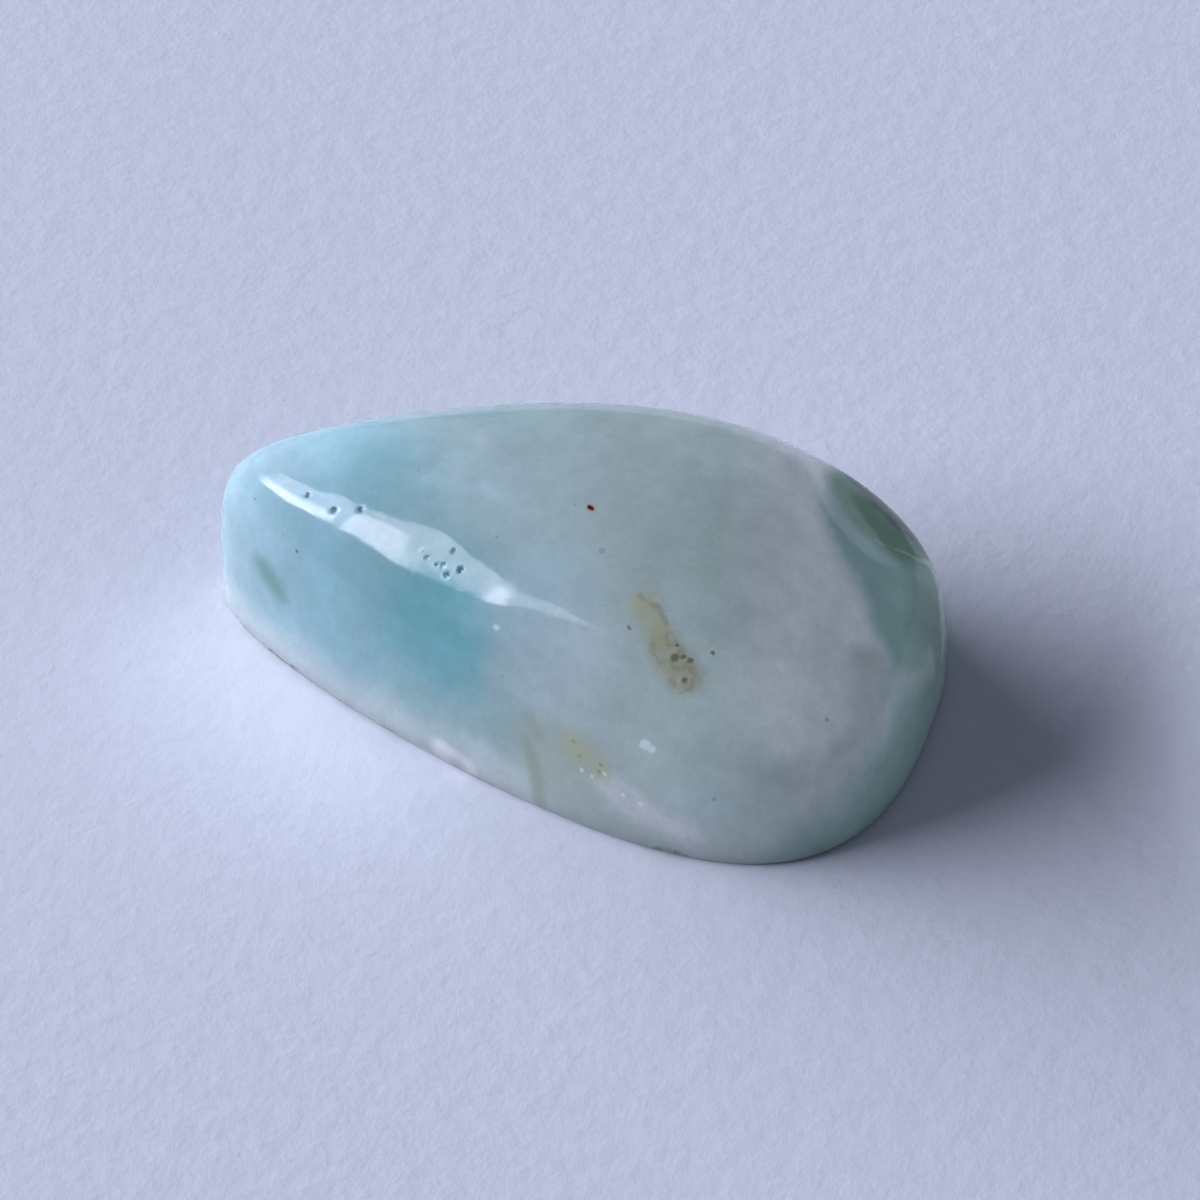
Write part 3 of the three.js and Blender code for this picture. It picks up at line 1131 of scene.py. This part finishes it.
def curtain(light, look):
    """Shapes a window's image: soft towards its far end, cut slantwise at the near lower corner.

    Along and up run from 0 to 1 over the window. The image is brightest low down in the middle and
    again before the near end, and faint streaks run through it, as a curtain's folds leave them.
    """
    light.use_nodes = True
    desk = Desk(light.node_tree)
    glow = light.node_tree.nodes["Emission"]
    spot = light.node_tree.nodes.new("ShaderNodeNewGeometry").outputs["Parametric"]
    around = 1 + 2 * look.mirror_margin
    spot = desk.vector("MULTIPLY", spot, (around, around, 1))
    spot = desk.vector("SUBTRACT", spot, (look.mirror_margin, look.mirror_margin, 0))
    apart = light.node_tree.nodes.new("ShaderNodeSeparateXYZ")
    light.node_tree.links.new(spot, apart.inputs[0])
    along, up = apart.outputs["X"], apart.outputs["Y"]
    far_start = (look.curtain_far - look.window_far) / (look.window_near - look.window_far)
    share = desk.soft_step(along, far_start - 0.2, far_start, 0.05, 1.0)
    share = desk.product(share, desk.soft_step(along, -0.01, 0.01))
    share = desk.product(share, desk.soft_step(up, -0.04, -0.02))
    share = desk.product(share, desk.soft_step(up, 1.02, 1.06, 1.0, 0.0))
    cut_at, cut_slope = 0.935, 8.0
    slant = desk.math("SUBTRACT", up, desk.product(desk.math("SUBTRACT", along, cut_at), cut_slope))
    share = desk.product(share, desk.soft_step(slant, -0.03, 0.03))
    low = desk.product(
        desk.soft_step(up, 0.3, 0.5, 1.0, 0.0), desk.soft_step(along, 0.83, 0.865, 1.0, 0.0),
    )
    near = desk.product(desk.soft_step(up, 0.68, 0.85, 1.0, 0.0), desk.soft_step(along, 0.915, 0.93))
    near = desk.product(near, desk.soft_step(along, 0.955, 0.975, 1.0, 0.0))
    bright = desk.math("ADD", desk.product(low, 0.6), desk.product(near, 0.45))
    bright = desk.math("ADD", bright, 0.35)
    folds = desk.noise(desk.vector("MULTIPLY", spot, (70, 9, 1)), 1.0, 4.0, 0.7)[0]
    bright = desk.product(bright, desk.soft_step(folds, 0.35, 0.65, 0.72, 1.25))
    bright = desk.product(bright, desk.soft_step(along, 0.945, 0.985, 1.0, 0.55))
    edge = desk.product(desk.soft_step(up, 0.25, 0.05), desk.soft_step(along, 0.85, 0.88))
    edge = desk.product(edge, desk.soft_step(along, 0.915, 0.93, 0.4, 0.0))
    bright = desk.product(bright, desk.math("SUBTRACT", 1.0, edge))
    light.node_tree.links.new(desk.product(share, bright), glow.inputs["Strength"])


def hang_glow(context, look, paper):
    """A small soft light on the paper alone, for the daylight that the polished wall throws down.

    It hangs just outside the front wall near the tip, and faces down and outwards.
    """
    way = Vector(look.glow_way).normalized()
    glow = area_light(
        context, "glow", look.window_colour, look.glow_power, look.glow_length, look.glow_height,
    )
    along = Vector((0, 0, 1)).cross(way).normalized()
    glow.location = look.glow_place
    glow.rotation_quaternion = Matrix((along, way.cross(along), way)).transposed().to_quaternion()
    glow.visible_glossy = False
    lit = bpy.data.collections.new("lit by the glow")
    lit.objects.link(paper)
    glow.light_linking.receiver_collection = lit


def hang_fill(context, look, stone):
    """A weak soft light on the stone alone, from the side away from the window.

    It stands for the daylight that the clear stone carries through to its far side. It makes no
    highlight and leaves the shadow on the paper as it is.
    """
    right, away = picture_axes(look)
    level = right * math.cos(look.fill_bearing) + away * math.sin(look.fill_bearing)
    way = level * math.cos(look.fill_rise) + Vector((0, 0, math.sin(look.fill_rise)))
    fill = area_light(context, "fill", look.window_colour, look.fill_power, look.fill_size, look.fill_size)
    fill.location = way * look.window_distance
    fill.rotation_quaternion = way.to_track_quat("Z", "Y")
    fill.visible_glossy = False
    lit = bpy.data.collections.new("lit by the fill")
    lit.objects.link(stone)
    fill.light_linking.receiver_collection = lit


def dim_room(context, look):
    """Even dim light from all round."""
    world = bpy.data.worlds.new("room")
    world.use_nodes = True
    background = world.node_tree.nodes["Background"]
    background.inputs["Color"].default_value = (*look.room_colour, 1)
    background.inputs["Strength"].default_value = look.room_strength
    context.scene.world = world


def set_camera(context, look):
    """The camera, turned to the middle of the stone, with the picture's small shift."""
    right, away = picture_axes(look)
    level = -away * math.cos(look.camera_rise)
    back = level + Vector((0, 0, math.sin(look.camera_rise)))
    target = Vector(CAMERA_TARGET)
    data = bpy.data.cameras.new("camera")
    data.lens = look.camera_lens
    data.sensor_width = SENSOR_WIDTH
    data.shift_x, data.shift_y = PICTURE_SHIFT
    data.clip_start = 0.01
    data.clip_end = 10
    camera = bpy.data.objects.new("camera", data)
    camera.location = target + back * look.camera_distance
    camera.rotation_mode = "QUATERNION"
    camera.rotation_quaternion = back.to_track_quat("Z", "Y")
    context.scene.collection.objects.link(camera)
    context.scene.camera = camera


class VIEW3D_PT_opal(bpy.types.Panel):
    """Shows the buttons that build the stone and its paper, window and camera"""

    bl_label = "Opal cabochon"
    bl_space_type = "VIEW_3D"
    bl_region_type = "UI"
    bl_category = "Opal"

    def draw(self, context):
        self.layout.operator(OBJECT_OT_opal_stone.bl_idname)
        self.layout.operator(OBJECT_OT_opal_stage.bl_idname)


CLASSES = (
    StoneShape,
    OpalColours,
    StageLook,
    OBJECT_OT_opal_stone,
    OBJECT_OT_opal_stage,
    VIEW3D_PT_opal,
)


def register():
    for cls in CLASSES:
        bpy.utils.register_class(cls)
    bpy.types.Scene.opal_shape = bpy.props.PointerProperty(type=StoneShape)
    bpy.types.Scene.opal_colours = bpy.props.PointerProperty(type=OpalColours)
    bpy.types.Scene.opal_stage = bpy.props.PointerProperty(type=StageLook)


def unregister():
    del bpy.types.Scene.opal_stage
    del bpy.types.Scene.opal_colours
    del bpy.types.Scene.opal_shape
    for cls in reversed(CLASSES):
        bpy.utils.unregister_class(cls)


def main():
    register()
    bpy.ops.object.opal_stone()
    bpy.ops.object.opal_stage()


if __name__ == "__main__":
    main()
